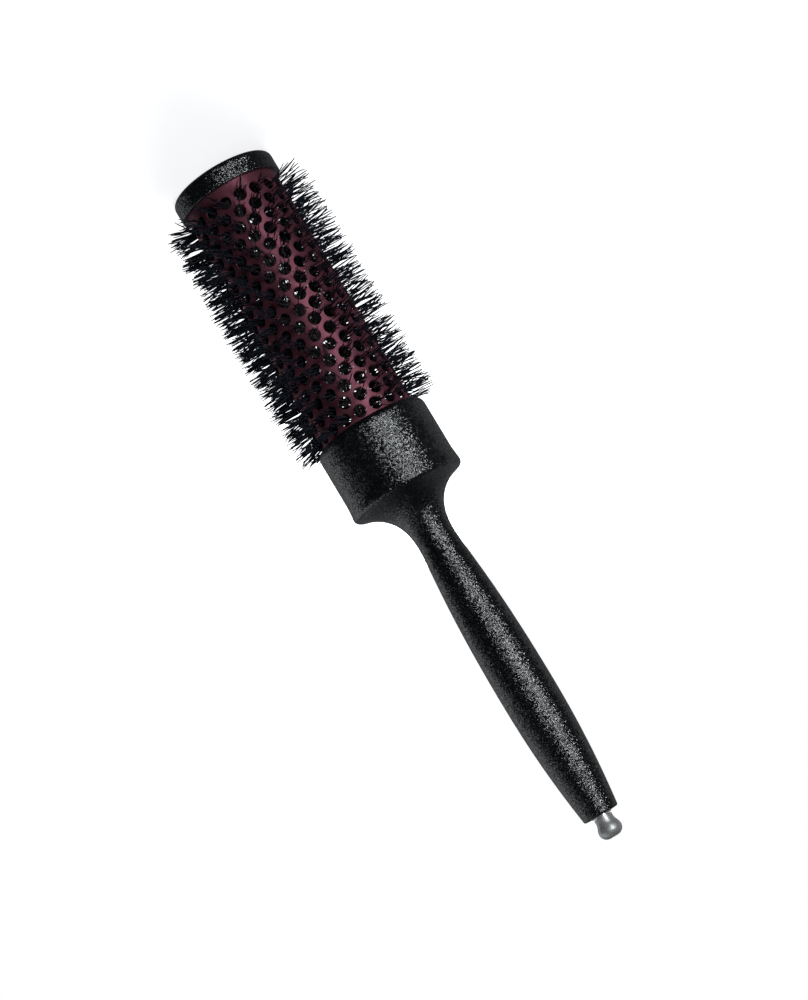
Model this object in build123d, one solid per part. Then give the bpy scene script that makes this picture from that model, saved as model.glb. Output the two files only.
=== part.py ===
from build123d import *
import os
from math import cos, pi, radians, sin, sqrt, tan

# Round barrel hair brush, in millimetres. The brush stands on the flat end of its barrel cap:
# z = 0 is that face, the brush's axis is +Z, and the handle with its pull-out pin is at the top.
#
# A perforated aluminium tube is held between a moulded end cap and the spigot of the handle's
# rigid core. Two twisted steel wires run down its middle and carry nylon tufts, one for each hole.
# A hard collar ring covers the joint, a soft grip is moulded over the core, and a steel
# sectioning pin with a round knob is held in the handle's end by a rubber ring.

# ---- driving dimensions -------------------------------------------------------------------

# Perforated tube
BARREL_OD = 34.0
BARREL_WALL = 0.8
BARREL_SHOWN = 91.5  # from the cap's skirt to the collar
TUBE_IN_CAP = 4.6
TUBE_IN_COLLAR = 12.0
HOLE_D = 4.1
HOLE_EDGE = 0.18  # broken outer edge of each hole
HOLE_RINGS = 18
HOLES_PER_RING = 18
FIRST_HOLE_GAP = 3.35  # bare metal between the cap and the first holes
LAST_HOLE_GAP = 0.65  # bare metal between the last holes and the collar

# End cap
CAP_HEIGHT = 7.3
CAP_LIP = 1.75  # how far the cap stands out past the tube
CAP_EDGE_R = 2.0
CAP_SKIRT_EDGE_R = 0.35
CAP_RECESS = 0.9
CAP_RIM = 3.6  # width of the ring that the brush stands on
CAP_WEB = 1.6
CAP_SPIGOT_WALL = 1.5
CAP_SPIGOT_DEPTH = 4.4
VENTS = 6
VENT_WIDTH = 3.2
VENT_BRIDGE = 3.0  # web left between two vents
VENT_GAP = 1.5  # web left inside the vents, around the wire boss
DISC_LIP = 1.0  # how far the middle disc covers the boss's foot
DISC_THICK = 0.7
DISC_EDGE_R = 0.42
DISC_PEG_D = 2.8
DISC_PEG_LENGTH = 1.0

# Twisted wire core and the ferrules on its ends
WIRE_D = 1.8
WIRE_TWIST_PITCH = 12.0
FILAMENT_D = 0.25  # the wires grip one layer of filament between them
FERRULE_WALL = 0.55
FERRULE_LENGTH = 6.0
BOSS_WALL = 2.2
SOCKET_FLOOR_GAP = 0.6

# Tufts
BRISTLE_TIP_D = 53.0
TUFT_ROOT_D = 0.5
TUFT_TIP_D = 3.0
TUFT_ROOT_GAP = 0.04

# Collar ring
COLLAR_LIP = 3.05  # how far the collar stands out past the tube
COLLAR_RING_HEIGHT = 15.0
COLLAR_EDGE_R = 2.9
SEAM_EDGE = 0.12  # broken edge on both sides of the seam between ring and grip

# Handle, upwards from the seam
SKIRT_HEIGHT = 11.3  # from the seam to the ridge
FLARE_HEIGHT = 5.8
FLARE = 0.55
RIDGE_R = 1.7
SHOULDER_RISE = 17.5  # from the ridge to the thinnest place of the neck
SHOULDER_SLOPE_DEG = 13.0
NECK_D = 13.5
BELLY_D = 18.8
NECK_TO_BELLY = 56.4
NECK_EASE = 8.0  # how long the neck stays near its own size
BELLY_EASE_IN = 35.0
BELLY_EASE_OUT = 15.0
BELLY_TO_TAIL = 48.6
TAIL_D = 12.5
TAIL_TAPER = 0.135
TAIL_EASE = 20.0
TAIL_EDGE_R = 0.8
TAIL_DOME = 0.2
GRIP_SKIN = 1.6

# Rigid core
SPIGOT_WALL = 2.0
SPIGOT_DEPTH = 10.8
SHOULDER_WEB = 4.0  # solid core left under the shoulder

# Sectioning pin
SLEEVE_BORE = 4.2
SLEEVE_WALL = 0.5
SLEEVE_LENGTH = 22.0
FLANGE_D = 7.0
FLANGE_THICK = 0.35
PIN_D = 2.4
PIN_REACH = 88.0  # from the sleeve's mouth to the point
PIN_POINT = 5.0
PIN_TIP_D = 0.8
PIN_TIP_EDGE_R = 0.32
PIN_ROOM = 0.3  # around the pin and past its point, in the core
PIN_STUB = 4.0  # how far the pin goes into the knob
PLUG_LENGTH = 12.0
PLUG_TAPER = 1.5
RING_SECTION = 0.9
RING_DEPTH = 7.0  # from the sleeve's mouth to the rubber ring
KNOB_FOOT_D = 5.6
KNOB_FOOT = 0.2
KNOB_NECK_D = 6.3
KNOB_NECK = 1.1
KNOB_D = 8.2
KNOB_BELLY = 3.6  # from the top of the knob's neck to its widest place
KNOB_BEND = 1.6  # how far the knob's side runs straight before it swells
KNOB_CROWN = 2.7
KNOB_FLAT_D = 2.6

# Clearances
PRESS_GAP = 0.05  # between parts pushed into each other
MOULD_GAP = 0.02  # between the core and the grip moulded over it
RUN_GAP = 0.08  # between the pin and its sleeve
RING_GAP = 0.03  # around the rubber ring
SEAT_GAP = 0.08  # under the knob when the pin is in

# ---- sizes that follow --------------------------------------------------------------------

TUBE_R = BARREL_OD / 2
TUBE_BORE_R = TUBE_R - BARREL_WALL
SPIGOT_R = TUBE_BORE_R - PRESS_GAP
CAP_R = TUBE_R + CAP_LIP
COLLAR_R = TUBE_R + COLLAR_LIP

Z_TUBE_START = CAP_HEIGHT - TUBE_IN_CAP
Z_COLLAR = CAP_HEIGHT + BARREL_SHOWN
Z_TUBE_END = Z_COLLAR + TUBE_IN_COLLAR
Z_SEAM = Z_COLLAR + COLLAR_RING_HEIGHT
Z_RIDGE = Z_SEAM + SKIRT_HEIGHT
Z_NECK = Z_RIDGE + SHOULDER_RISE
Z_BELLY = Z_NECK + NECK_TO_BELLY
Z_TAIL = Z_BELLY + BELLY_TO_TAIL
Z_FLANGE = Z_TAIL + TAIL_DOME
Z_MOUTH = Z_FLANGE + FLANGE_THICK
Z_KNOB = Z_MOUTH + SEAT_GAP
Z_POINT = Z_MOUTH - PIN_REACH

FIRST_RING_Z = CAP_HEIGHT + FIRST_HOLE_GAP + HOLE_D / 2
LAST_RING_Z = Z_COLLAR - LAST_HOLE_GAP - HOLE_D / 2
RING_PITCH = (LAST_RING_Z - FIRST_RING_Z) / (HOLE_RINGS - 1)
HOLE_STEP_DEG = 360 / HOLES_PER_RING

TWIST_R = (WIRE_D + FILAMENT_D) / 2
CORE_R = TWIST_R + WIRE_D / 2
FERRULE_BORE_R = CORE_R + PRESS_GAP
FERRULE_R = FERRULE_BORE_R + FERRULE_WALL
SOCKET_R = FERRULE_R + PRESS_GAP
BOSS_R = SOCKET_R + BOSS_WALL

CAP_FLOOR = CAP_RECESS + CAP_WEB
CAP_FERRULE_Z = CAP_FLOOR + SOCKET_FLOOR_GAP
CAP_BOSS_TOP = CAP_FERRULE_Z + FERRULE_LENGTH - SOCKET_FLOOR_GAP
Z_SPIGOT = Z_TUBE_END - SPIGOT_DEPTH
HANDLE_FERRULE_Z = Z_SPIGOT + SOCKET_FLOOR_GAP
CORE_TOP = HANDLE_FERRULE_Z + FERRULE_LENGTH
POCKET_TOP = Z_RIDGE - GRIP_SKIN - SHOULDER_WEB

SLEEVE_R = SLEEVE_BORE / 2 + SLEEVE_WALL
PLUG_R = SLEEVE_BORE / 2 - RUN_GAP
RING_Z = Z_MOUTH - RING_DEPTH
RING_CENTRE_R = SLEEVE_BORE / 2 - RING_GAP - RING_SECTION / 2
GROOVE_R = RING_CENTRE_R - RING_SECTION / 2 - RING_GAP
GROOVE_HALF = RING_SECTION / 2 + RING_GAP

THROUGH = 1.0  # how far a cutting tool runs past the face it opens


# ---- helpers ------------------------------------------------------------------------------


def rod(radius, low, high):
    """A round bar on the Z axis between two heights."""
    return Pos(0, 0, low) * Cylinder(radius, high - low, align=(Align.CENTER, Align.CENTER, Align.MIN))


def pipe(outer, inner, low, high):
    """A round tube on the Z axis between two heights."""
    return rod(outer, low, high) - rod(inner, low - THROUGH, high + THROUGH)


def turned(*curves):
    """The solid made by turning a closed outline of curves in the (r, z) plane about Z."""
    return revolve(make_face(Plane.XZ * (Curve() + list(curves))), Axis.Z)


def turned_points(*points):
    """The solid made by turning the outline through (r, z) corners about Z."""
    return turned(Polyline(*points, close=True))


def around(shape, count, first_deg=0.0):
    """Copies of a shape, evenly spaced about the Z axis."""
    return [Rot(0, 0, first_deg + 360 * k / count) * shape for k in range(count)]


def rings_at(solid, height):
    """The circular edges of a solid at one height, the widest last."""
    found = [e for e in solid.edges().filter_by(GeomType.CIRCLE) if abs(e.center().Z - height) < 1e-4]
    return sorted(found, key=lambda e: e.radius)


def ring_height(ring):
    """Height of a ring of holes and tufts."""
    return FIRST_RING_Z + ring * RING_PITCH


def ring_start_deg(ring):
    """Angle of a ring's first hole: every other ring is turned by half a step."""
    return HOLE_STEP_DEG / 2 * (ring % 2)


# ---- barrel -------------------------------------------------------------------------------


def hole_cutter():
    """The tool for one hole, lying along +X through the tube's wall, with its edge cone."""
    reach = 2.0
    start = TUBE_BORE_R - reach
    centred_low = (Align.CENTER, Align.CENTER, Align.MIN)
    punch = Cylinder(HOLE_D / 2, TUBE_R + reach - start, align=centred_low)
    # The wall falls away beside the hole's middle, so the cone starts that much lower.
    fall = TUBE_R - sqrt(TUBE_R**2 - (HOLE_D / 2) ** 2)
    height = HOLE_EDGE + fall + reach
    edge = Cone(HOLE_D / 2, HOLE_D / 2 + height, height, align=centred_low)
    tool = punch + Pos(0, 0, TUBE_R - HOLE_EDGE - fall - start) * edge
    return Pos(start, 0, 0) * Rot(0, 90, 0) * tool


def barrel_tube():
    """Thin tube with staggered rings of round holes."""
    body = pipe(TUBE_R, TUBE_BORE_R, Z_TUBE_START, Z_TUBE_END)
    cutter = hole_cutter()
    for ring in range(HOLE_RINGS):
        body -= around(Pos(0, 0, ring_height(ring)) * cutter, HOLES_PER_RING, ring_start_deg(ring))
    return body


# ---- end cap ------------------------------------------------------------------------------


def vent_cutter():
    """The tool for one curved vent through the cap's web."""
    inner = BOSS_R + VENT_GAP
    outer = inner + VENT_WIDTH
    bridge_deg = VENT_BRIDGE / (inner + VENT_WIDTH / 2) * 180 / pi
    low, high = -THROUGH, CAP_FLOOR + THROUGH
    outline = Polyline((inner, low), (outer, low), (outer, high), (inner, high), close=True)
    return revolve(make_face(Plane.XZ * outline), Axis.Z, 360 / VENTS - bridge_deg)


def end_cap():
    """Moulded cap: a rim to stand on, a skirt outside the tube, a spigot inside it, a boss."""
    body = rod(CAP_R, 0, CAP_HEIGHT)
    body = fillet(rings_at(body, 0)[-1:], CAP_EDGE_R)
    body = fillet(rings_at(body, CAP_HEIGHT)[-1:], CAP_SKIRT_EDGE_R)
    body -= rod(CAP_R - CAP_RIM, -THROUGH, CAP_RECESS)
    body -= rod(TUBE_R + PRESS_GAP, Z_TUBE_START - PRESS_GAP, CAP_HEIGHT + THROUGH)
    body -= rod(SPIGOT_R - CAP_SPIGOT_WALL, CAP_FLOOR, CAP_HEIGHT + THROUGH)
    low = min(CAP_FLOOR, Z_TUBE_START - PRESS_GAP)
    body += pipe(SPIGOT_R, SPIGOT_R - CAP_SPIGOT_WALL, low, Z_TUBE_START + CAP_SPIGOT_DEPTH)
    body += rod(BOSS_R, CAP_RECESS, CAP_BOSS_TOP)
    body -= rod(SOCKET_R, CAP_FLOOR, CAP_BOSS_TOP + THROUGH)
    body -= around(vent_cutter(), VENTS)
    return body - rod(DISC_PEG_D / 2 + PRESS_GAP, -THROUGH, CAP_FLOOR + THROUGH)


def cap_disc():
    """Disc in the middle of the cap's face, pushed in by its peg."""
    disc = rod(BOSS_R + DISC_LIP, CAP_RECESS - DISC_THICK, CAP_RECESS)
    disc = fillet(rings_at(disc, CAP_RECESS - DISC_THICK), DISC_EDGE_R)
    return disc + rod(DISC_PEG_D / 2, CAP_RECESS, CAP_RECESS + DISC_PEG_LENGTH)


# ---- wire core and tufts ------------------------------------------------------------------


def core_wire(start_deg):
    """One of the two wires of the twisted core."""
    length = CORE_TOP - CAP_FERRULE_Z
    path = Pos(0, 0, CAP_FERRULE_Z) * Rot(0, 0, start_deg) * Helix(WIRE_TWIST_PITCH, length, TWIST_R)
    section = Plane(origin=path @ 0, z_dir=path % 0) * Circle(WIRE_D / 2)
    return sweep(section, path, is_frenet=True)


def ferrule(low):
    """Crimped tube on one end of the twisted core."""
    return pipe(FERRULE_R, FERRULE_BORE_R, low, low + FERRULE_LENGTH)


def tuft():
    """One tuft of filaments, lying along +X from the wire core out through its hole."""
    start = CORE_R + TUFT_ROOT_GAP
    length = BRISTLE_TIP_D / 2 - start
    cone = Cone(TUFT_ROOT_D / 2, TUFT_TIP_D / 2, length, align=(Align.CENTER, Align.CENTER, Align.MIN))
    return Pos(start, 0, 0) * Rot(0, 90, 0) * cone


def bristle_row(ring):
    """The tufts of one ring of holes."""
    first = Pos(0, 0, ring_height(ring)) * tuft()
    return Compound(around(first, HOLES_PER_RING, ring_start_deg(ring)))


# ---- handle -------------------------------------------------------------------------------


def collar_ring():
    """Hard ring over the end of the tube, with a rounded edge towards the bristles."""
    body = rod(COLLAR_R, Z_COLLAR, Z_SEAM)
    body = fillet(rings_at(body, Z_COLLAR), COLLAR_EDGE_R)
    body = chamfer(rings_at(body, Z_SEAM), SEAM_EDGE)
    return body - rod(TUBE_R + PRESS_GAP, Z_COLLAR - THROUGH, Z_SEAM + THROUGH)


def eased(start, corner, end, pull=2 / 3):
    """A curve from start to end that leaves and arrives along the lines through corner.

    pull says how far it keeps to those lines; 0.55 is nearly a circle's quarter.
    """
    first = tuple(a + pull * (c - a) for a, c in zip(start, corner))
    second = tuple(a + pull * (c - a) for a, c in zip(end, corner))
    return Bezier(start, first, second, end)


def shoulder(inset):
    """The hollow curve from the ridge to the neck, moved into the handle by inset."""
    slope = radians(SHOULDER_SLOPE_DEG)
    # Where the skirt's side and the shoulder, both moved in by inset, meet.
    drop = inset * cos(slope) - inset * (1 - sin(slope)) * tan(slope)
    start = (COLLAR_R + FLARE - inset, Z_RIDGE - drop)
    neck = NECK_D / 2 - inset
    corner = (neck, start[1] + (start[0] - neck) * tan(slope))
    return start, eased(start, corner, (neck, Z_NECK))


def grip_sides(inset):
    """The two long curves of the grip, from the neck to the tail, moved inwards by inset."""
    neck = NECK_D / 2 - inset
    belly = BELLY_D / 2 - inset
    tail = TAIL_D / 2 - inset
    rise = Bezier(
        (neck, Z_NECK), (neck, Z_NECK + NECK_EASE), (belly, Z_BELLY - BELLY_EASE_IN), (belly, Z_BELLY)
    )
    before_tail = (tail + TAIL_TAPER * TAIL_EASE, Z_TAIL - TAIL_EASE)
    fall = Bezier((belly, Z_BELLY), (belly, Z_BELLY + BELLY_EASE_OUT), before_tail, (tail, Z_TAIL))
    return rise, fall


def core_blank(gap):
    """The outside of the rigid core above the seam, grown by gap to cut its room in the grip."""
    inset = GRIP_SKIN - gap
    start, curve = shoulder(inset)
    rise, fall = grip_sides(inset)
    waist = COLLAR_R - inset
    foot = Polyline((0, Z_SEAM), (waist, Z_SEAM), (waist, Z_RIDGE - FLARE_HEIGHT), start)
    lid = Polyline((TAIL_D / 2 - inset, Z_TAIL), (0, Z_TAIL), (0, Z_SEAM))
    blank = turned(foot, curve, rise, fall, lid)
    return blank & rod(COLLAR_R, Z_SEAM, Z_TAIL - inset)


def handle_core():
    """Rigid core: spigot for the tube, boss for the wires, and the long bore of the pin."""
    body = core_blank(0) + rod(TUBE_R, Z_TUBE_END, Z_SEAM) + rod(SPIGOT_R, Z_SPIGOT, Z_TUBE_END)
    body -= rod(SPIGOT_R - SPIGOT_WALL, Z_SPIGOT - THROUGH, POCKET_TOP)
    body += rod(BOSS_R, Z_SPIGOT, POCKET_TOP)
    body -= rod(SOCKET_R, Z_SPIGOT - THROUGH, CORE_TOP + SOCKET_FLOOR_GAP)
    body -= rod(SLEEVE_R + PRESS_GAP, Z_MOUTH - SLEEVE_LENGTH - PRESS_GAP, Z_MOUTH)
    return body - rod(PIN_D / 2 + PIN_ROOM, Z_POINT - PIN_ROOM, Z_MOUTH)


def grip():
    """Soft skin from the seam over the shoulder and the handle to the sleeve's flange."""
    start, curve = shoulder(0)
    rise, fall = grip_sides(0)
    foot = Polyline((0, Z_SEAM), (COLLAR_R, Z_SEAM), (COLLAR_R, Z_RIDGE - FLARE_HEIGHT), start)
    end = Polyline((TAIL_D / 2, Z_TAIL), (FLANGE_D / 2, Z_FLANGE), (0, Z_FLANGE), (0, Z_SEAM))
    body = turned(foot, curve, rise, fall, end)
    body = fillet(rings_at(body, Z_RIDGE), RIDGE_R)
    body = fillet(rings_at(body, Z_TAIL), TAIL_EDGE_R)
    body = chamfer(rings_at(body, Z_SEAM), SEAM_EDGE)
    return body - core_blank(MOULD_GAP) - rod(SLEEVE_R + PRESS_GAP, Z_TAIL - GRIP_SKIN, Z_MOUTH)


# ---- sectioning pin -----------------------------------------------------------------------


def pin_sleeve():
    """Metal liner of the pin's bore, with a flange on the handle's end."""
    body = rod(SLEEVE_R, Z_MOUTH - SLEEVE_LENGTH, Z_FLANGE) + rod(FLANGE_D / 2, Z_FLANGE, Z_MOUTH)
    return body - rod(SLEEVE_BORE / 2, Z_MOUTH - SLEEVE_LENGTH - THROUGH, Z_MOUTH + THROUGH)


def friction_ring():
    """Rubber ring in the pin's groove."""
    return Pos(0, 0, RING_Z) * Torus(RING_CENTRE_R, RING_SECTION / 2)


def pin_shaft():
    """Pointed pin with the thicker plug that turns in the sleeve."""
    plug_end = Z_MOUTH - PLUG_LENGTH
    body = turned_points(
        (0, Z_POINT),
        (PIN_TIP_D / 2, Z_POINT),
        (PIN_D / 2, Z_POINT + PIN_POINT),
        (PIN_D / 2, plug_end - PLUG_TAPER),
        (PLUG_R, plug_end),
        (PLUG_R, Z_KNOB),
        (PIN_D / 2, Z_KNOB),
        (PIN_D / 2, Z_KNOB + PIN_STUB),
        (0, Z_KNOB + PIN_STUB),
    )
    body = fillet(rings_at(body, Z_POINT), PIN_TIP_EDGE_R)
    return body - pipe(PLUG_R + THROUGH, GROOVE_R, RING_Z - GROOVE_HALF, RING_Z + GROOVE_HALF)


def pin_knob():
    """Round knob on the pin, with a narrow foot and a flattened crown."""
    neck_low = Z_KNOB + KNOB_FOOT
    neck_high = neck_low + KNOB_NECK
    widest = neck_high + KNOB_BELLY
    top = widest + KNOB_CROWN
    neck, belly, flat = KNOB_NECK_D / 2, KNOB_D / 2, KNOB_FLAT_D / 2
    foot = Polyline((0, Z_KNOB), (KNOB_FOOT_D / 2, Z_KNOB), (KNOB_FOOT_D / 2, neck_low), (neck, neck_low))
    stem = Line((neck, neck_low), (neck, neck_high))
    bends = (neck, neck_high + KNOB_BEND), (belly, widest - KNOB_BEND)
    flare = Bezier((neck, neck_high), *bends, (belly, widest))
    crown = eased((belly, widest), (belly, top), (flat, top), 0.55)
    lid = Polyline((flat, top), (0, top), (0, Z_KNOB))
    body = turned(foot, stem, flare, crown, lid)
    socket_top = Z_KNOB + PIN_STUB + PRESS_GAP
    return body - rod(PIN_D / 2 + PRESS_GAP, Z_KNOB - THROUGH, socket_top)


# ---- parts --------------------------------------------------------------------------------

PARTS = {
    "barrel_tube": barrel_tube(),
    "end_cap": end_cap(),
    "cap_disc": cap_disc(),
    "core_wire_a": core_wire(0),
    "core_wire_b": core_wire(180),
    "cap_ferrule": ferrule(CAP_FERRULE_Z),
    "handle_ferrule": ferrule(HANDLE_FERRULE_Z),
    "collar_ring": collar_ring(),
    "handle_core": handle_core(),
    "grip": grip(),
    "pin_sleeve": pin_sleeve(),
    "friction_ring": friction_ring(),
    "pin_shaft": pin_shaft(),
    "pin_knob": pin_knob(),
}
for ring in range(HOLE_RINGS):
    PARTS[f"bristle_row_{ring + 1:02d}"] = bristle_row(ring)

os.makedirs("parts", exist_ok=True)
for name, shape in PARTS.items():
    export_step(shape, f"parts/{name}.step")
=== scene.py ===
import logging
import math
import random
from dataclasses import dataclass
from enum import Enum
from typing import Sequence

import bpy
from mathutils import Matrix, Vector


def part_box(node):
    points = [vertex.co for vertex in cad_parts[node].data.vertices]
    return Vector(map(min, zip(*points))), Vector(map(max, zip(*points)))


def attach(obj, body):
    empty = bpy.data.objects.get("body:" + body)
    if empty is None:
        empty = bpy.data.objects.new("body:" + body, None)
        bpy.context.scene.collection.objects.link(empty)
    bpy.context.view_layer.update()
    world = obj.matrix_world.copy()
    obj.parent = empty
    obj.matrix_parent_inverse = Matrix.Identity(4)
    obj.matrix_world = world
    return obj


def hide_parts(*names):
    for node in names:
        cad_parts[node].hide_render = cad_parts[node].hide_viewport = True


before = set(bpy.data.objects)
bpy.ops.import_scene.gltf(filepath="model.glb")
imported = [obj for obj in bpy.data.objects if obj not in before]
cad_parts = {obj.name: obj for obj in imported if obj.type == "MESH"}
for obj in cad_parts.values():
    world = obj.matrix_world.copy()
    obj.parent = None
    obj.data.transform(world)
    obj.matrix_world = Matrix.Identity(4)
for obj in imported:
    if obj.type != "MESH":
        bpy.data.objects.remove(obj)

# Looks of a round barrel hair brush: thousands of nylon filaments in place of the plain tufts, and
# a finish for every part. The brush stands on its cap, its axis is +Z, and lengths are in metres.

log = logging.getLogger("round_brush")

Colour = tuple[float, float, float]
Pair = tuple[float, float]
Socket = bpy.types.NodeSocket

MM = 0.001
FULL_TURN = 2 * math.pi
UNIT: Pair = (0.0, 1.0)
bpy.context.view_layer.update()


class Body(Enum):
    """The bodies that the new pieces ride on."""

    BRUSH = "brush"


# ---- shader nodes -------------------------------------------------------------------------


class NodeTree:
    """A thin wrapper that adds and joins shader nodes in one tree."""

    def __init__(self, tree: bpy.types.NodeTree) -> None:
        """Keep the tree that nodes are added to.

        Args:
            tree: The node tree of a material, world or node group.
        """
        self.tree = tree

    def add(self, kind: str, **settings: object) -> bpy.types.Node:
        """Add a node and set its plain properties and unlinked inputs.

        Args:
            kind: The node's type name, without its ShaderNode prefix where it has one.
            settings: Properties by name, or inputs by name with spaces as underscores.

        Returns:
            The new node.
        """
        node = self.tree.nodes.new(kind if kind.startswith("Node") else f"ShaderNode{kind}")
        for key, value in settings.items():
            if hasattr(node, key):
                setattr(node, key, value)
            else:
                node.inputs[key.replace("_", " ")].default_value = value
        return node

    def join(self, source: Socket, target: Socket) -> None:
        """Link an output socket to an input socket."""
        self.tree.links.new(source, target)

    def feed(self, node: bpy.types.Node, values: Sequence[float | Colour | Socket]) -> None:
        """Set or link a node's first inputs, in order."""
        for socket, value in zip(node.inputs, values):
            if isinstance(value, Socket):
                self.join(value, socket)
            else:
                socket.default_value = value

    def maths(self, operation: str, *values: float | Socket) -> Socket:
        """Add a Math node.

        Args:
            operation: The node's operation, such as MULTIPLY.
            values: A number or an output socket for each input.

        Returns:
            The node's output.
        """
        node = self.add("Math", operation=operation)
        self.feed(node, values)
        return node.outputs[0]

    def vector_maths(
        self, operation: str, *values: Colour | Socket, scale: Socket | None = None
    ) -> Socket:
        """Add a Vector Math node.

        Args:
            operation: The node's operation, such as ADD.
            values: A vector or an output socket for each vector input.
            scale: The number that SCALE multiplies by.

        Returns:
            The node's vector.
        """
        node = self.add("VectorMath", operation=operation)
        self.feed(node, values)
        if scale is not None:
            self.join(scale, node.inputs["Scale"])
        return node.outputs["Vector"]

    def remap(self, value: Socket, span: Pair, to: Pair = UNIT) -> Socket:
        """Map a range of a value to another range, clamped.

        Args:
            value: The output socket to map.
            span: The values that become the two ends of the new range.
            to: The two ends of the new range.

        Returns:
            The mapped value.
        """
        node = self.add("MapRange", From_Min=span[0], From_Max=span[1], To_Min=to[0], To_Max=to[1])
        self.join(value, node.inputs["Value"])
        return node.outputs["Result"]

    def blend(self, factor: Socket, first: Colour, second: Colour) -> Socket:
        """Mix two fixed colours by a factor.

        Args:
            factor: 0 gives the first colour and 1 the second.
            first: The first colour.
            second: The second colour.

        Returns:
            The mixed colour.
        """
        node = self.add("Mix", data_type="RGBA")
        self.join(factor, node.inputs["Factor"])
        sockets = [s for s in node.inputs if s.type == "RGBA"]
        sockets[0].default_value = (*first, 1.0)
        sockets[1].default_value = (*second, 1.0)
        return next(s for s in node.outputs if s.type == "RGBA")

    def bump(self, height: Socket, depth: float) -> Socket:
        """Add a Bump node.

        Args:
            height: A height from 0 to 1.
            depth: What a height of 1 stands for, in metres.

        Returns:
            The normal.
        """
        node = self.add("Bump", Strength=1.0, Distance=depth)
        self.join(height, node.inputs["Height"])
        return node.outputs["Normal"]


def shader_group(
    name: str, inputs: dict[str, float | None], outputs: Sequence[str]
) -> tuple[NodeTree, dict[str, Socket], dict[str, Socket]]:
    """Make an empty shader node group with a Vector input and named values.

    Args:
        name: The group's name.
        inputs: Number inputs with their default values, and vector inputs with None.
        outputs: Names of the outputs: Normal is a vector and the others are numbers.

    Returns:
        The group's tree, its input sockets by name and its output sockets by name.
    """
    group = bpy.data.node_groups.new(name, "ShaderNodeTree")
    group.interface.new_socket("Vector", in_out="INPUT", socket_type="NodeSocketVector")
    for label, value in inputs.items():
        kind = "NodeSocketVector" if value is None else "NodeSocketFloat"
        socket = group.interface.new_socket(label, in_out="INPUT", socket_type=kind)
        if value is not None:
            socket.default_value = value
    for label in outputs:
        kind = "NodeSocketVector" if label == "Normal" else "NodeSocketFloat"
        group.interface.new_socket(label, in_out="OUTPUT", socket_type=kind)
    tree = NodeTree(group)
    start = tree.add("NodeGroupInput")
    end = tree.add("NodeGroupOutput")
    return tree, {s.name: s for s in start.outputs}, {s.name: s for s in end.inputs}


def make_spark_grain() -> bpy.types.NodeTree:
    """Build the group for the sandy texture of a spark-eroded mould: tiny facets, tilted at random.

    Returns:
        A group that tilts a Normal by up to Slope in each facet of two sizes, and puts out the
        Glint of the smooth facets.
    """
    facet_scales = (1.0, 1.7)
    mean_sum = (1.0, 1.0, 1.0)  # the mean of two random colours added up
    glint_span = (0.35, 0.95)
    given_values = {"Normal": None, "Per Metre": 3600.0, "Slope": 0.3}
    tree, given, out = shader_group("spark_grain", given_values, ("Normal", "Glint"))
    colours = []
    for finer in facet_scales:
        facets = tree.add("TexVoronoi", feature="F1")
        tree.join(given["Vector"], facets.inputs["Vector"])
        tree.join(tree.maths("MULTIPLY", given["Per Metre"], finer), facets.inputs["Scale"])
        colours.append(facets.outputs["Color"])
    both = tree.vector_maths("ADD", *colours)
    centred = tree.vector_maths("SUBTRACT", both, mean_sum)
    tilt = tree.vector_maths("SCALE", centred, scale=given["Slope"])
    tilted = tree.vector_maths("ADD", given["Normal"], tilt)
    tree.join(tree.vector_maths("NORMALIZE", tilted), out["Normal"])
    shade = tree.add("SeparateColor")
    tree.join(colours[0], shade.inputs["Color"])
    tree.join(tree.remap(shade.outputs["Red"], glint_span), out["Glint"])
    return tree.tree


def make_handling() -> bpy.types.NodeTree:
    """Build the group for the uneven polish that hands and shelves leave.

    Returns:
        A group that puts out a Mask of the rubbed places.
    """
    rubbed_span = (0.38, 0.66)
    tree, given, out = shader_group("handling", {"Per Metre": 60.0}, ("Mask",))
    cloud = tree.add("TexNoise", Detail=4.0, Roughness=0.62, Distortion=0.4)
    tree.join(given["Vector"], cloud.inputs["Vector"])
    tree.join(given["Per Metre"], cloud.inputs["Scale"])
    tree.join(tree.remap(cloud.outputs["Fac"], rubbed_span), out["Mask"])
    return tree.tree


def make_drawn_lines() -> bpy.types.NodeTree:
    """Build the group for the fine lines that drawing or turning leaves in metal.

    Returns:
        A group that puts out the lines' Height and a slower Tone.
    """
    tone_span = (0.35, 0.65)
    given_values = {"Across": 4000.0, "Along": 60.0}
    tree, given, out = shader_group("drawn_lines", given_values, ("Height", "Tone"))
    stretch = tree.add("CombineXYZ")
    tree.join(given["Across"], stretch.inputs["X"])
    tree.join(given["Across"], stretch.inputs["Y"])
    tree.join(given["Along"], stretch.inputs["Z"])
    lines = tree.add("TexNoise", Scale=1.0, Detail=2.0, Roughness=0.5)
    stretched = tree.vector_maths("MULTIPLY", given["Vector"], stretch.outputs["Vector"])
    tree.join(stretched, lines.inputs["Vector"])
    tree.join(lines.outputs["Fac"], out["Height"])
    cloud = tree.add("TexNoise", Scale=90.0, Detail=3.0, Roughness=0.55)
    tree.join(given["Vector"], cloud.inputs["Vector"])
    tree.join(tree.remap(cloud.outputs["Fac"], tone_span), out["Tone"])
    return tree.tree


class Effect(Enum):
    """The shared effects, each built once as a node group."""

    SPARK_GRAIN = "spark_grain"
    HANDLING = "handling"
    DRAWN_LINES = "drawn_lines"


EFFECTS: dict[Effect, bpy.types.NodeTree] = {
    Effect.SPARK_GRAIN: make_spark_grain(),
    Effect.HANDLING: make_handling(),
    Effect.DRAWN_LINES: make_drawn_lines(),
}


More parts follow.
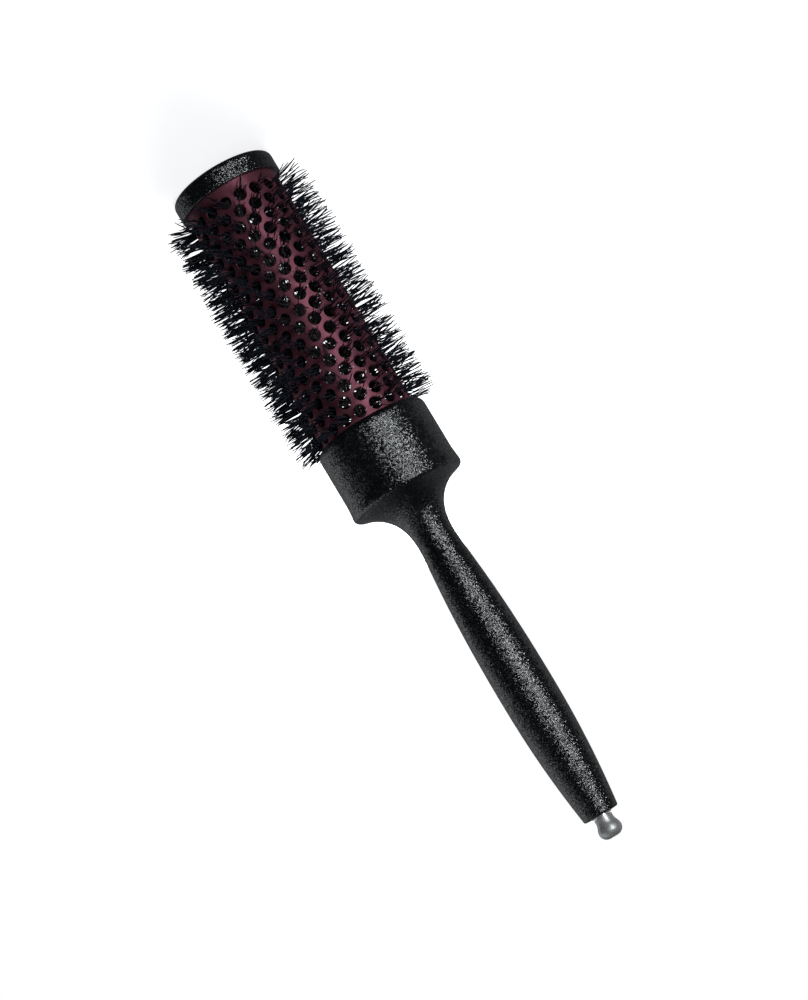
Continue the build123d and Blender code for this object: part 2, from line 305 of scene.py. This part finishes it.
class Paint:
    """A new material with its Principled BSDF, ready for a finish to fill in."""

    def __init__(self, name: str) -> None:
        """Make the material.

        Args:
            name: The material's name.
        """
        self.material = bpy.data.materials.new(name)
        self.material.use_nodes = True
        self.nodes = NodeTree(self.material.node_tree)
        self.surface = self.material.node_tree.nodes["Principled BSDF"]
        self.place = self.nodes.add("TexCoord").outputs["Object"]

    def effect(self, which: Effect, **values: float) -> bpy.types.Node:
        """Place a shared effect in this material.

        Args:
            which: The effect.
            values: The group's inputs by name, with spaces as underscores.

        Returns:
            The group's node.
        """
        node = self.nodes.add("Group", node_tree=EFFECTS[which])
        for key, value in values.items():
            node.inputs[key.replace("_", " ")].default_value = value
        self.nodes.join(self.place, node.inputs["Vector"])
        return node

    def set(self, **values: object) -> None:
        """Set or link inputs of the Principled BSDF, named with spaces as underscores."""
        for key, value in values.items():
            socket = self.surface.inputs[key.replace("_", " ")]
            if isinstance(value, Socket):
                self.nodes.join(value, socket)
            elif socket.type == "RGBA":
                socket.default_value = (*value, 1.0)
            else:
                socket.default_value = value


# ---- finishes -----------------------------------------------------------------------------


@dataclass(frozen=True)
class SandedPlastic:
    """Dull black plastic with the sandy grain of its mould: the facets that glint are smoother."""

    name: str
    tone: Colour = (0.0026, 0.0034, 0.0044)
    worn_tone: Colour = (0.0042, 0.0050, 0.0062)
    grain: float = 0.34 * MM
    slope: float = 0.42
    roughness: Pair = (0.18, 0.33)
    rubbed_gloss: float = 0.05
    specular: float = 0.8

    def material(self) -> bpy.types.Material:
        """Build the material.

        Returns:
            The finished material.
        """
        paint = Paint(self.name)
        nodes = paint.nodes
        grain = paint.effect(Effect.SPARK_GRAIN, Per_Metre=1 / self.grain, Slope=self.slope)
        nodes.join(nodes.add("NewGeometry").outputs["Normal"], grain.inputs["Normal"])
        rubbed = paint.effect(Effect.HANDLING).outputs["Mask"]
        dull = nodes.remap(grain.outputs["Glint"], UNIT, self.roughness[::-1])
        paint.set(
            Base_Color=nodes.blend(rubbed, self.tone, self.worn_tone),
            Roughness=nodes.maths("MULTIPLY_ADD", rubbed, -self.rubbed_gloss, dull),
            Normal=grain.outputs["Normal"],
            Specular_IOR_Level=self.specular,
        )
        return paint.material


@dataclass(frozen=True)
class LinedMetal:
    """Metal with the fine lines that drawing or turning left.

    The numbers across and along are how fine the lines are in those directions, per metre. The
    rubbed patches are per metre too.
    """

    name: str
    tone: Colour = (0.72, 0.71, 0.70)
    dull_tone: Colour = (0.52, 0.52, 0.52)
    metallic: float = 1.0
    across: float = 400.0
    along: float = 9000.0
    patches: float = 220.0
    line_depth: float = 0.006 * MM
    roughness: Pair = (0.22, 0.34)

    def material(self) -> bpy.types.Material:
        """Build the material.

        Returns:
            The finished material.
        """
        paint = Paint(self.name)
        nodes = paint.nodes
        lines = paint.effect(Effect.DRAWN_LINES, Across=self.across, Along=self.along)
        rubbed = paint.effect(Effect.HANDLING, Per_Metre=self.patches).outputs["Mask"]
        paint.set(
            Base_Color=nodes.blend(lines.outputs["Tone"], self.tone, self.dull_tone),
            Metallic=self.metallic,
            Roughness=nodes.remap(rubbed, UNIT, self.roughness),
            Normal=nodes.bump(lines.outputs["Height"], self.line_depth),
        )
        return paint.material


@dataclass(frozen=True)
class AnodisedMetal(LinedMetal):
    """Satin anodised aluminium in wine red, with faint lines along its length."""

    tone: Colour = (0.205, 0.062, 0.089)
    dull_tone: Colour = (0.162, 0.047, 0.068)
    metallic: float = 0.7
    across: float = 5200.0
    along: float = 260.0
    patches: float = 45.0
    line_depth: float = 0.004 * MM
    roughness: Pair = (0.47, 0.55)


@dataclass(frozen=True)
class Nylon:
    """Black extruded nylon filament with a cool sheen, paler in specks."""

    name: str
    tone: Colour = (0.006, 0.008, 0.012)
    pale_tone: Colour = (0.026, 0.034, 0.048)
    specks: float = 1500.0
    speck_span: Pair = (0.42, 0.66)
    roughness: Pair = (0.18, 0.32)
    specular: float = 0.9

    def material(self) -> bpy.types.Material:
        """Build the material.

        Returns:
            The finished material.
        """
        paint = Paint(self.name)
        nodes = paint.nodes
        specks = paint.effect(Effect.DRAWN_LINES, Across=self.specks, Along=self.specks)
        shade = nodes.remap(specks.outputs["Height"], self.speck_span)
        paint.set(
            Base_Color=nodes.blend(shade, self.tone, self.pale_tone),
            Roughness=nodes.remap(specks.outputs["Tone"], UNIT, self.roughness),
            Specular_IOR_Level=self.specular,
        )
        return paint.material


# ---- mesh helpers -------------------------------------------------------------------------


class MeshMaker:
    """Gathers vertices and faces, then makes one smooth-shaded object of them."""

    def __init__(self) -> None:
        """Start with nothing in the mesh."""
        self.points: list[Vector] = []
        self.faces: list[tuple[int, ...]] = []

    def ring(self, points: Sequence[Vector]) -> range:
        """Add a ring of vertices.

        Args:
            points: The ring's points in order.

        Returns:
            The new vertices' numbers.
        """
        start = len(self.points)
        self.points.extend(points)
        return range(start, len(self.points))

    def skin(self, low: Sequence[int], high: Sequence[int]) -> None:
        """Join two rings of the same number of vertices with a band of faces."""
        count = len(low)
        for k in range(count):
            after = (k + 1) % count
            self.faces.append((low[k], low[after], high[after], high[k]))

    def build(
        self, name: str, material: bpy.types.Material, sharp_deg: float = 40.0
    ) -> bpy.types.Object:
        """Make the object.

        Args:
            name: The object's name.
            material: Its material.
            sharp_deg: Edges that turn by more than this stay sharp.

        Returns:
            The new object, linked to the scene.
        """
        mesh = bpy.data.meshes.new(name)
        mesh.from_pydata(self.points, [], self.faces)
        mesh.validate()
        mesh.shade_smooth()
        mesh.set_sharp_from_angle(angle=math.radians(sharp_deg))
        mesh.materials.append(material)
        piece = bpy.data.objects.new(name, mesh)
        bpy.context.scene.collection.objects.link(piece)
        return piece


def fit(piece: bpy.types.Object, body: Body, slot: str, *nodes: str) -> None:
    """Ride a piece on a body and hide the CAD nodes that it stands for.

    Args:
        piece: The new piece.
        body: The body it moves with.
        slot: Not used.
        nodes: The CAD nodes that it replaces.
    """
    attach(piece, body.value)
    if nodes:
        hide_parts(*nodes)
    log.info("%s: %d faces on %s", piece.name, len(piece.data.polygons), body.value)


def dress(node: str, material: bpy.types.Material) -> None:
    """Give a CAD node its finish in place of the plain one."""
    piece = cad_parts[node]
    if not piece.material_slots:
        piece.data.materials.append(material)
    for slot in piece.material_slots:
        slot.material = material
    log.info("%s: dressed in %s", node, material.name)


# ---- tufts --------------------------------------------------------------------------------


@dataclass
class Tufts:
    """The filaments: a loose tuft through each hole of the barrel."""

    nylon: Nylon
    seed: int = 11

    # How many, and how fine. The +X side of a row has fuller_side more in its tufts, the -X side
    # as many fewer.
    spokes: int = 18
    per_tuft: tuple[int, int] = (7, 9)
    fuller_side: float = 2.0
    sides: int = 5
    thickness: float = 0.38 * MM
    tip_taper: float = 0.7
    sharp_deg: float = 60.0

    # Distances from the brush's axis, and the room in a hole. Most tips lie near the weighted
    # middle that tip_weights gives of the two tip radii.
    root_radius: float = 2.9 * MM
    wall_radius: float = 17.0 * MM
    hole_room: float = 1.62 * MM
    tip_radius: Pair = (23.8 * MM, 27.3 * MM)
    tip_weights: Pair = (0.3, 0.7)

    # How the filaments lie: the chance lean of a whole tuft, of one filament in it, and of the few
    # strays. fan parts the filaments by their place in the hole, bend curves them, and slope_share
    # is how much of a slanted filament's length counts against its reach.
    tuft_spread_deg: float = 4.5
    spread_deg: float = 4.4
    stray_spread_deg: float = 16.0
    stray_share: float = 0.05
    lean_limit_deg: float = 55.0
    fan: float = 0.35
    bend: float = 0.02
    slope_share: float = 0.95

    # The lean of the tufts near the two ends: how much, over which share of the rows, how gently.
    cap_lean_deg: float = -7.0
    collar_lean_deg: float = 6.0
    cap_share: float = 0.3
    collar_start: float = 0.45
    lean_power: float = 1.5

    # A filament's points up to the hole's mouth, each a distance past wall_radius with its share
    # of the filament's place in the hole, and beyond it, each a share of its reach with its share
    # of the bend.
    root_gather: float = 0.1
    wall_points: tuple[Pair, ...] = ((-1.0 * MM, 0.94), (0.1 * MM, 1.0))
    free_points: tuple[Pair, ...] = ((0.45, 0.0), (0.8, 1.0), (1.0, 1.8))

    def rows(self) -> list[str]:
        """List the CAD rows from the cap upwards."""
        return sorted(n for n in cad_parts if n.startswith("bristle_row_"))

    def height(self, row: str) -> float:
        """Height of a row's holes."""
        low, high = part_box(row)
        return (low[2] + high[2]) / 2

    def end_lean(self, share: float) -> float:
        """Lean of the tufts along the axis: towards the cap at one end, the handle at the other.

        Args:
            share: 0 at the cap and 1 at the collar.

        Returns:
            The lean in degrees, positive towards the handle.
        """
        near_cap = max(0.0, 1 - share / self.cap_share) ** self.lean_power
        past_start = (share - self.collar_start) / (1 - self.collar_start)
        near_collar = max(0.0, past_start) ** self.lean_power
        return self.cap_lean_deg * near_cap + self.collar_lean_deg * near_collar

    def path(self, rng: random.Random, lean: Pair, stray: bool) -> list[Vector]:
        """One filament's path in its tuft's own frame: x outwards, y around, z along the brush.

        Args:
            rng: The source of chance.
            lean: The tuft's lean around and along the brush, in degrees.
            stray: Whether this filament sticks out of line.

        Returns:
            Points from the root to the tip.
        """
        turn = rng.uniform(0, FULL_TURN)
        away = self.hole_room * math.sqrt(rng.random())
        side, up = away * math.cos(turn), away * math.sin(turn)
        spread = self.stray_spread_deg if stray else self.spread_deg
        limit = self.lean_limit_deg
        turned = [max(-limit, min(limit, angle + rng.gauss(0, spread))) for angle in lean]
        around, along = (math.tan(math.radians(angle)) for angle in turned)
        fan = self.fan / (self.wall_radius - self.root_radius)
        slope = Vector((1.0, around + side * fan, along + up * fan))
        bend = Vector((0.0, rng.gauss(0, self.bend), rng.gauss(0, self.bend)))
        shortest, longest = self.tip_radius
        likely = shortest * self.tip_weights[0] + longest * self.tip_weights[1]
        tip_at = rng.triangular(shortest, longest, likely)
        reach = (tip_at - self.wall_radius) / max(1.0, slope.length * self.slope_share)
        points = [Vector((self.root_radius, side * self.root_gather, up * self.root_gather))]
        for past, share in self.wall_points:
            points.append(Vector((self.wall_radius + past, side * share, up * share)))
        mouth = points[-1]
        for share, bent in self.free_points:
            points.append(mouth + (slope + bend * bent) * (reach * share))
        return points

    def draw(self, maker: MeshMaker, path: Sequence[Vector], place: Matrix) -> None:
        """Add one filament to the mesh as a thin closed tube.

        Args:
            maker: The mesh that gets the filament.
            path: The filament's points in its tuft's frame.
            place: The tuft's place in the brush.
        """
        points = [place @ p for p in path]
        end = len(points) - 1
        angles = [FULL_TURN * j / self.sides for j in range(self.sides)]
        last = None
        side = Vector((0.0, 0.0, 1.0))
        for k, point in enumerate(points):
            ahead = points[min(k + 1, end)] - points[max(k - 1, 0)]
            ahead.normalize()
            side = (side - ahead * side.dot(ahead)).normalized()
            across = ahead.cross(side)
            radius = self.thickness / 2 * (self.tip_taper if k == end else 1.0)
            spokes = [side * math.cos(a) + across * math.sin(a) for a in angles]
            ring = maker.ring([point + spoke * radius for spoke in spokes])
            if last is None:
                maker.faces.append(tuple(reversed(ring)))
            else:
                maker.skin(last, ring)
            last = ring
        maker.faces.append(tuple(last))

    def build(self) -> None:
        """Make one piece for each row, in place of its plain tufts."""
        material = self.nylon.material()
        rows = self.rows()
        rng = random.Random(self.seed)
        step = FULL_TURN / self.spokes
        for number, row in enumerate(rows):
            maker = MeshMaker()
            lean_up = self.end_lean(number / (len(rows) - 1))
            raised = Matrix.Translation((0, 0, self.height(row)))
            for spoke in range(self.spokes):
                angle = step * (spoke + (number % 2) / 2)  # every other row is half a step round
                place = raised @ Matrix.Rotation(angle, 4, "Z")
                spread = self.tuft_spread_deg
                lean = (rng.gauss(0, spread), lean_up + rng.gauss(0, spread))
                extra = round(self.fuller_side * math.cos(angle))
                for _ in range(rng.randint(*self.per_tuft) + extra):
                    stray = rng.random() < self.stray_share
                    self.draw(maker, self.path(rng, lean, stray), place)
            name = row.replace("bristle_row", "filaments")
            piece = maker.build(name, material, self.sharp_deg)
            fit(piece, Body.BRUSH, "bristle_nylon", row)


# ---- studio -------------------------------------------------------------------------------


@dataclass(frozen=True)
class SoftLight:
    """A soft rectangular light that faces the middle of the brush.

    Its size is its width and height. The azimuth is in degrees from the camera's side, positive
    towards -X, and the elevation in degrees above the horizon. Its power is in watts, and glossy
    says whether it shows in glossy surfaces.
    """

    name: str
    size: Pair
    azimuth_deg: float
    elevation_deg: float
    away: float
    power: float
    glossy: bool = True


@dataclass
class Studio:
    """Pale floor, white surroundings, soft lights and the camera."""

    lens: float = 90.0
    sensor_width: float = 36.0
    distance: float = 826.8 * MM
    aim_height: float = 126.2 * MM
    aim_side: float = 2.55 * MM
    elevation_deg: float = 8.7
    roll_deg: float = 149.1

    # The floor glows grey within the first shadow reach, so that it takes a shadow, and white past
    # the second.
    floor_size: float = 6.0
    shadow_reach: Pair = (0.06, 0.45)
    floor_tone: Colour = (0.50, 0.50, 0.50)
    dust_tone: Colour = (0.47, 0.47, 0.47)
    dust_patches: float = 9.0
    near_glow: Colour = (0.80, 0.80, 0.81)
    white: Colour = (1.0, 1.0, 1.0)
    floor_roughness: float = 0.9
    floor_specular: float = 0.1

    # The dim room that the gloss shows: how far towards the back it brightens, and how strongly.
    room_span: Pair = (-0.1, 0.95)
    room_strength: Pair = (0.002, 0.17)
    room_tint: Colour = (0.93, 0.97, 1.0)

    # The lights, each with its name, size, azimuth, elevation, distance and power.
    light_tint: Colour = (0.94, 0.975, 1.0)
    lights: tuple[SoftLight, ...] = (
        SoftLight("key", (0.19, 0.70), 27.0, -2.0, 0.9, 8.6),
        SoftLight("left_fill", (0.5, 1.2), -124.0, 5.0, 1.1, 1.8),
        SoftLight("right_rim", (0.3, 1.2), 125.0, 10.0, 1.1, 0.6),
        SoftLight("side_fill", (0.5, 1.0), -85.0, 35.0, 1.0, 1.6),
        SoftLight("back_wash", (0.6, 1.0), 180.0, 20.0, 1.1, 22.0, glossy=False),
    )

    def camera(self) -> None:
        """Set the camera, rolled so that the brush lies across the picture."""
        data = bpy.data.cameras.new("camera")
        data.lens = self.lens
        data.sensor_width = self.sensor_width
        camera = bpy.data.objects.new("camera", data)
        tilt = math.radians(90 - self.elevation_deg)
        roll = math.radians(self.roll_deg)
        turned = Matrix.Rotation(tilt, 4, "X") @ Matrix.Rotation(roll, 4, "Z")
        rise = math.radians(self.elevation_deg)
        back = Vector((0, -math.cos(rise), math.sin(rise)))
        place = Vector((self.aim_side, 0, self.aim_height)) + back * self.distance
        camera.matrix_world = Matrix.Translation(place) @ turned
        bpy.context.scene.collection.objects.link(camera)
        bpy.context.scene.camera = camera

    def light(self, lamp: SoftLight) -> None:
        """Add a soft light.

        Args:
            lamp: What the light is and where it stands.
        """
        data = bpy.data.lights.new(lamp.name, "AREA")
        data.shape = "RECTANGLE"
        data.size, data.size_y = lamp.size
        data.energy = lamp.power
        data.color = self.light_tint
        holder = bpy.data.objects.new(lamp.name, data)
        turn, rise = math.radians(lamp.azimuth_deg), math.radians(lamp.elevation_deg)
        level = math.cos(rise)
        way = Vector((-math.sin(turn) * level, -math.cos(turn) * level, math.sin(rise)))
        holder.location = Vector((0, 0, self.aim_height)) + way * lamp.away
        holder.rotation_euler = way.to_track_quat("Z", "Y").to_euler()
        holder.visible_glossy = lamp.glossy
        bpy.context.scene.collection.objects.link(holder)

    def surroundings(self) -> None:
        """White behind the brush for the camera, and a dim room, paler at the back, for gloss."""
        world = bpy.data.worlds.new("surroundings")
        world.use_nodes = True
        bpy.context.scene.world = world
        nodes = NodeTree(world.node_tree)
        world.node_tree.nodes.clear()
        way = nodes.add("SeparateXYZ")
        nodes.join(nodes.add("TexCoord").outputs["Generated"], way.inputs["Vector"])
        strength = nodes.remap(way.outputs["Y"], self.room_span, self.room_strength)
        room = nodes.add("Background", Color=(*self.room_tint, 1.0))
        nodes.join(strength, room.inputs["Strength"])
        white = nodes.add("Background", Color=(*self.white, 1.0), Strength=1.0)
        seen = nodes.add("MixShader")
        nodes.join(nodes.add("LightPath").outputs["Is Camera Ray"], seen.inputs["Fac"])
        nodes.join(room.outputs["Background"], seen.inputs[1])
        nodes.join(white.outputs["Background"], seen.inputs[2])
        nodes.join(seen.outputs["Shader"], nodes.add("OutputWorld").inputs["Surface"])

    def floor(self) -> None:
        """Pale floor, clear from below, with a soft shadow near the brush and white further out."""
        maker = MeshMaker()
        half = self.floor_size / 2
        corners = [Vector((x * half, y * half, 0)) for x, y in ((-1, -1), (1, -1), (1, 1), (-1, 1))]
        maker.faces.append(tuple(maker.ring(corners)))
        paint = Paint("pale_floor")
        nodes = paint.nodes
        dust = paint.effect(Effect.HANDLING, Per_Metre=self.dust_patches).outputs["Mask"]
        away = nodes.add("VectorMath", operation="LENGTH")
        nodes.join(paint.place, away.inputs[0])
        far = nodes.remap(away.outputs["Value"], self.shadow_reach)
        paint.set(
            Base_Color=nodes.blend(dust, self.floor_tone, self.dust_tone),
            Roughness=self.floor_roughness,
            Alpha=nodes.maths("SUBTRACT", 1.0, nodes.add("NewGeometry").outputs["Backfacing"]),
            Emission_Color=nodes.blend(far, self.near_glow, self.white),
            Emission_Strength=1.0,
            Specular_IOR_Level=self.floor_specular,
        )
        floor = maker.build("floor", paint.material)
        floor.visible_glossy = False
        floor.visible_diffuse = False

    def build(self) -> None:
        """Make the whole studio."""
        self.camera()
        self.surroundings()
        self.floor()
        for lamp in self.lights:
            self.light(lamp)
        bpy.context.scene.view_settings.view_transform = "Standard"


# ---- the brush ----------------------------------------------------------------------------


@dataclass
class Barrel:
    """Perforated tube, cap, wire core and tufts."""

    tufts: Tufts
    tube: AnodisedMetal = AnodisedMetal("wine_anodising")
    cap: SandedPlastic = SandedPlastic("cap_black", slope=0.46)
    disc: SandedPlastic = SandedPlastic("disc_black", grain=0.25 * MM, slope=0.10)
    # The wire's tone is far darker than bright galvanised steel: painted shade for the inside of
    # the barrel, seen through the holes.
    wire: LinedMetal = LinedMetal(
        "wire_darkened_as_shade",
        tone=(0.16, 0.16, 0.17),
        dull_tone=(0.10, 0.10, 0.10),
        across=2500.0,
        along=300.0,
        roughness=(0.3, 0.45),
    )
    ferrule: LinedMetal = LinedMetal("crimped_alloy", roughness=(0.35, 0.5))

    def build(self) -> None:
        """Dress the barrel's parts and make its filaments."""
        dress("barrel_tube", self.tube.material())
        dress("end_cap", self.cap.material())
        dress("cap_disc", self.disc.material())
        wire = self.wire.material()
        dress("core_wire_a", wire)
        dress("core_wire_b", wire)
        ferrule = self.ferrule.material()
        dress("cap_ferrule", ferrule)
        dress("handle_ferrule", ferrule)
        self.tufts.build()


@dataclass
class Handle:
    """Collar ring, rigid core, soft grip and the metal sleeve that lines the pin's bore."""

    collar: SandedPlastic = SandedPlastic("collar_black")
    core: SandedPlastic = SandedPlastic("core_black", grain=0.50 * MM, slope=0.10)
    grip: SandedPlastic = SandedPlastic("grip_black")
    sleeve: LinedMetal = LinedMetal(
        "bright_rim", tone=(0.85, 0.84, 0.82), metallic=0.6, roughness=(0.25, 0.35)
    )

    def build(self) -> None:
        """Dress the handle's parts."""
        dress("collar_ring", self.collar.material())
        dress("handle_core", self.core.material())
        dress("grip", self.grip.material())
        dress("pin_sleeve", self.sleeve.material())


@dataclass
class SectioningPin:
    """The pull-out pin with its knob and rubber ring."""

    shaft: LinedMetal = LinedMetal(
        "drawn_steel",
        tone=(0.60, 0.60, 0.60),
        metallic=0.7,
        across=3000.0,
        along=200.0,
        line_depth=0.002 * MM,
    )
    knob: LinedMetal = LinedMetal(
        "knob_satin", tone=(0.46, 0.465, 0.47), metallic=0.65, roughness=(0.44, 0.52)
    )
    ring: SandedPlastic = SandedPlastic("ring_nitrile", grain=0.2 * MM, slope=0.06)

    def build(self) -> None:
        """Dress the pin's parts."""
        dress("pin_shaft", self.shaft.material())
        dress("pin_knob", self.knob.material())
        dress("friction_ring", self.ring.material())


def main() -> None:
    """Build the studio and the brush, and write how large the looks came out."""
    logging.basicConfig(level=logging.INFO, format="%(name)s: %(message)s")
    Studio().build()
    Barrel(Tufts(Nylon("black_nylon"))).build()
    Handle().build()
    SectioningPin().build()


if __name__ == "__main__":
    main()
